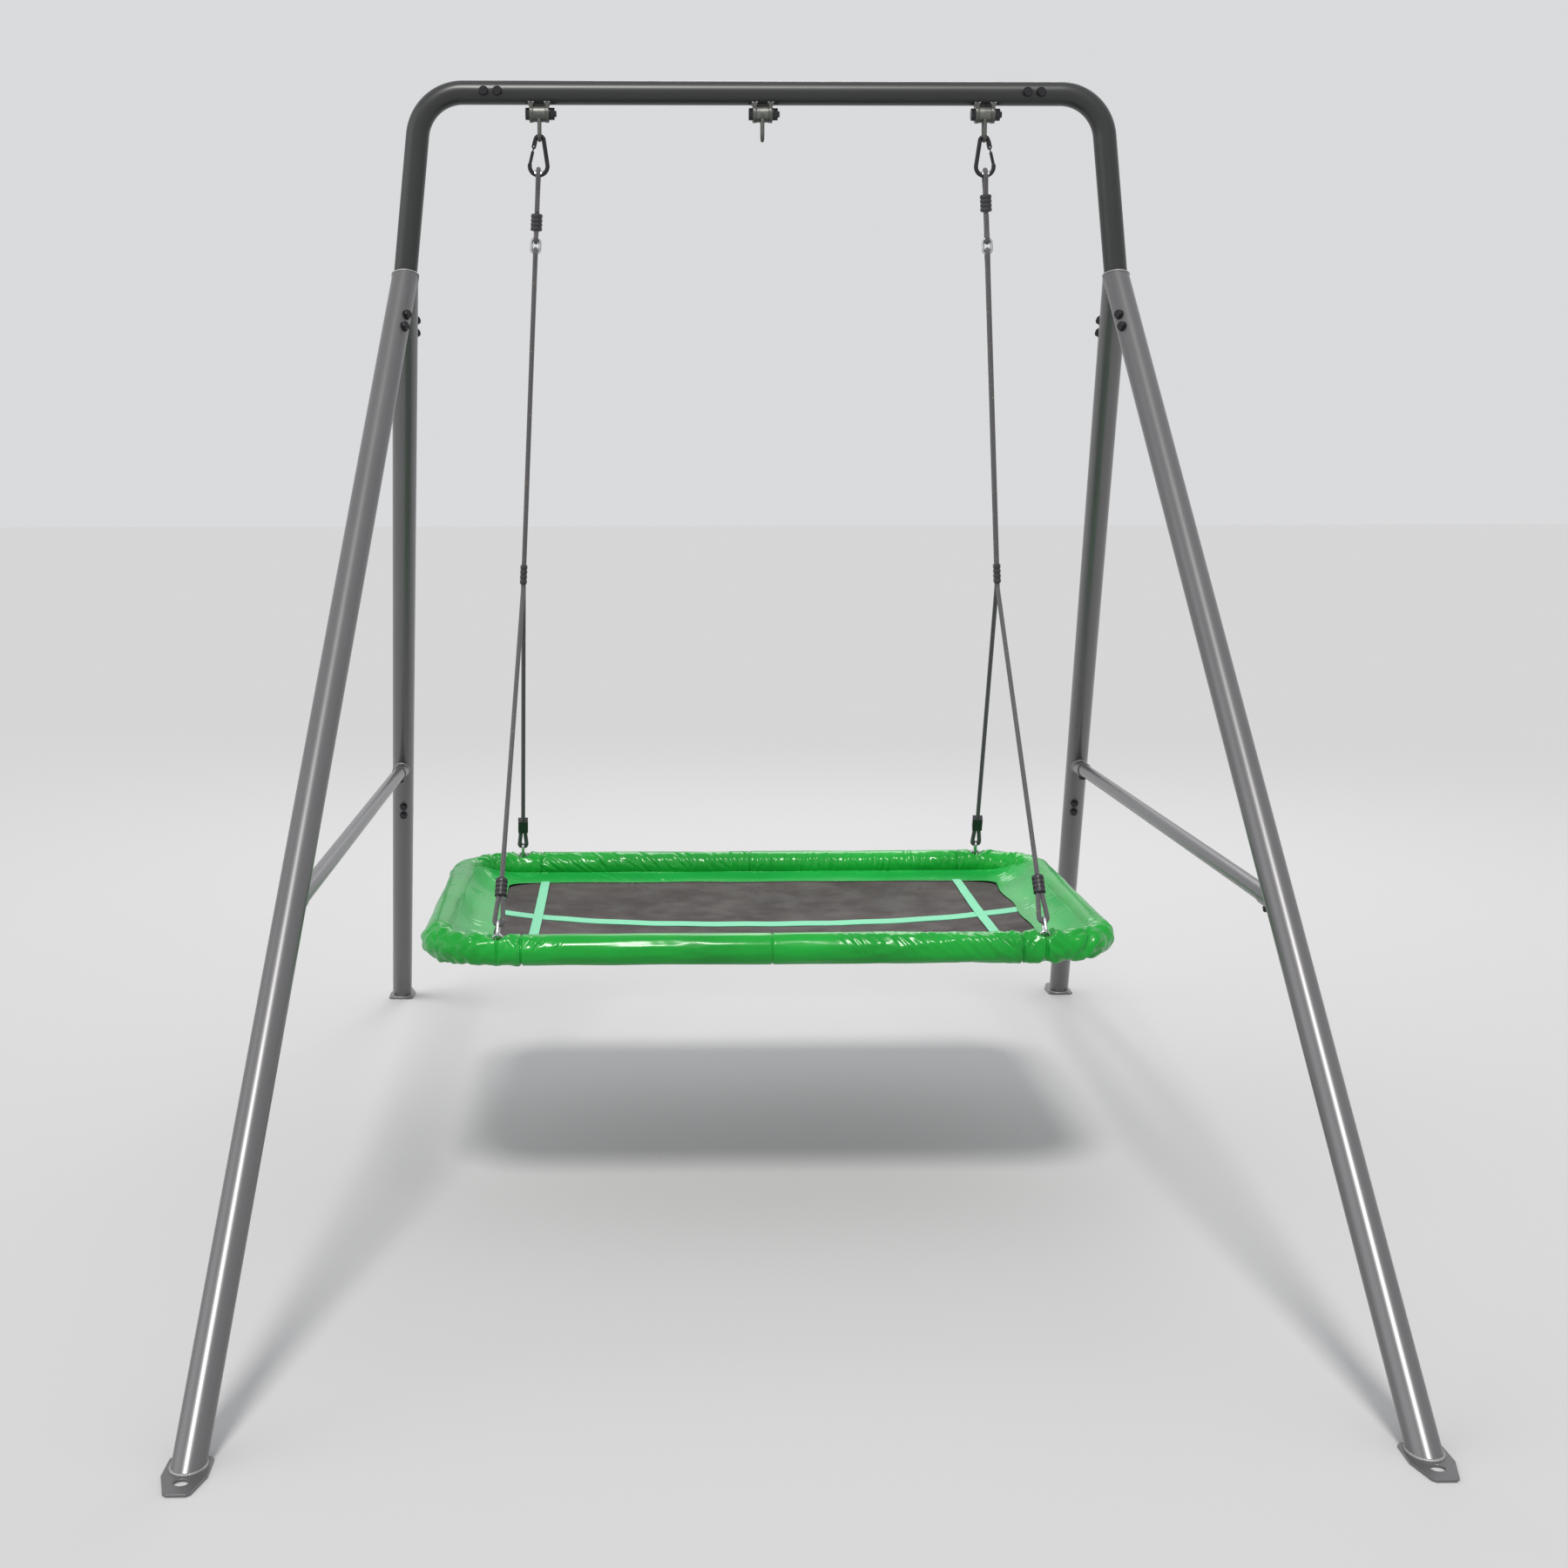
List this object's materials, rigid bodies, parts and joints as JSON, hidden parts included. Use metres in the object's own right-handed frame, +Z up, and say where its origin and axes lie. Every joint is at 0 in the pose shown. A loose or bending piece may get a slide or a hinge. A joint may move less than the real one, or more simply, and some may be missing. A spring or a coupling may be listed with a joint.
{
  "type": "platform swing set",
  "caption": "Tubular A-frame swing stand with a padded mesh platform seat on adjustable ropes, snap hooks and turning hangers, and a spare centre hanger.",
  "frame": {"origin": "on the ground below the middle of the top beam, at the centre of the four feet", "axes": "+X along the top beam, -Y to the front, +Z up"},
  "size_m": [1.564, 2.504, 1.819],
  "materials": {
    "dark_tube": "satin powder coat, gunmetal grey",
    "leg_tube": "satin powder coat, mid grey",
    "hanger_steel": "powder coat over cast and welded steel",
    "black_steel": "black oxide",
    "zinc_steel": "bright zinc plate",
    "black_plastic": "moulded, slightly glossy",
    "rope": "braided polyester",
    "foam": "closed-cell foam",
    "cover_fabric": "coated woven polyester, glossy",
    "flap_fabric": "coated woven polyester, glossy",
    "mesh_fabric": "open coated mesh",
    "webbing": "woven webbing"
  },
  "bodies": {
    "stand": {"top_beam": "dark_tube", "beam_sleeves": "dark_tube", "corner_left": "dark_tube", "corner_right": "dark_tube", "upper_leg_front_left": "leg_tube", "upper_leg_front_right": "leg_tube", "upper_leg_back_left": "leg_tube", "upper_leg_back_right": "leg_tube", "lower_leg_front_left": "leg_tube", "lower_leg_front_right": "leg_tube", "lower_leg_back_left": "leg_tube", "lower_leg_back_right": "leg_tube", "foot_plate_front_left": "leg_tube", "foot_plate_front_right": "leg_tube", "foot_plate_back_left": "leg_tube", "foot_plate_back_right": "leg_tube", "brace_left": "leg_tube", "brace_right": "leg_tube", "frame_bolts": "black_steel", "frame_inserts": "zinc_steel", "clevis_left": "hanger_steel", "clevis_centre": "hanger_steel", "clevis_right": "hanger_steel", "pivot_bolts": "black_steel", "pivot_nuts": "black_steel"},
    "spare_hanger": {"spare_barrel": "hanger_steel", "spare_bush": "black_plastic"},
    "swing": {"barrel_left": "hanger_steel", "barrel_right": "hanger_steel", "swing_bushes": "black_plastic", "hook_left": "black_steel", "hook_right": "black_steel", "gate_pins": "zinc_steel", "thimbles": "zinc_steel", "adjuster_rope_left": "rope", "adjuster_rope_right": "rope", "adjuster_sleeves": "black_plastic", "middle_links": "zinc_steel", "main_rope_left": "rope", "main_rope_right": "rope", "bridle_sleeves": "black_plastic"},
    "gate_left_body": {"gate_left": "black_steel"},
    "gate_right_body": {"gate_right": "black_steel"},
    "seat": {"lower_rope_front_left": "rope", "lower_rope_front_right": "rope", "lower_rope_back_left": "rope", "lower_rope_back_right": "rope", "front_sleeves": "black_plastic", "slide_blocks": "black_plastic", "seat_links": "zinc_steel", "seat_frame_left": "zinc_steel", "seat_frame_right": "zinc_steel", "seat_frame_sleeves": "zinc_steel", "foam_padding": "foam", "cover_sleeve": "cover_fabric", "inner_flap": "flap_fabric", "mesh_mat": "mesh_fabric", "cross_straps": "webbing", "long_strap": "webbing"}
  },
  "joints": [
    {"name": "swing_turn", "type": "hinge", "parent": "stand", "child": "swing", "pos_m": [0, 0, 1.767], "axis": [1, 0, 0], "range_deg": [-45, 45]},
    {"name": "seat_rock", "type": "hinge", "parent": "swing", "child": "seat", "pos_m": [0, 0, 1.003], "axis": [1, 0, 0], "range_deg": [-15, 15]},
    {"name": "spare_hanger_turn", "type": "hinge", "parent": "stand", "child": "spare_hanger", "pos_m": [0, 0, 1.767], "axis": [1, 0, 0], "range_deg": [-60, 60]},
    {"name": "gate_left_open", "type": "hinge", "parent": "swing", "child": "gate_left_body", "pos_m": [-0.37343, 0, 1.7151], "axis": [0, -1, 0], "range_deg": [0, 20], "stiffness_Nm_per_rad": 0.02, "springref_deg": -20.05},
    {"name": "gate_right_open", "type": "hinge", "parent": "swing", "child": "gate_right_body", "pos_m": [0.37343, 0, 1.7151], "axis": [0, 1, 0], "range_deg": [0, 20], "stiffness_Nm_per_rad": 0.02, "springref_deg": -20.05}
  ]
}
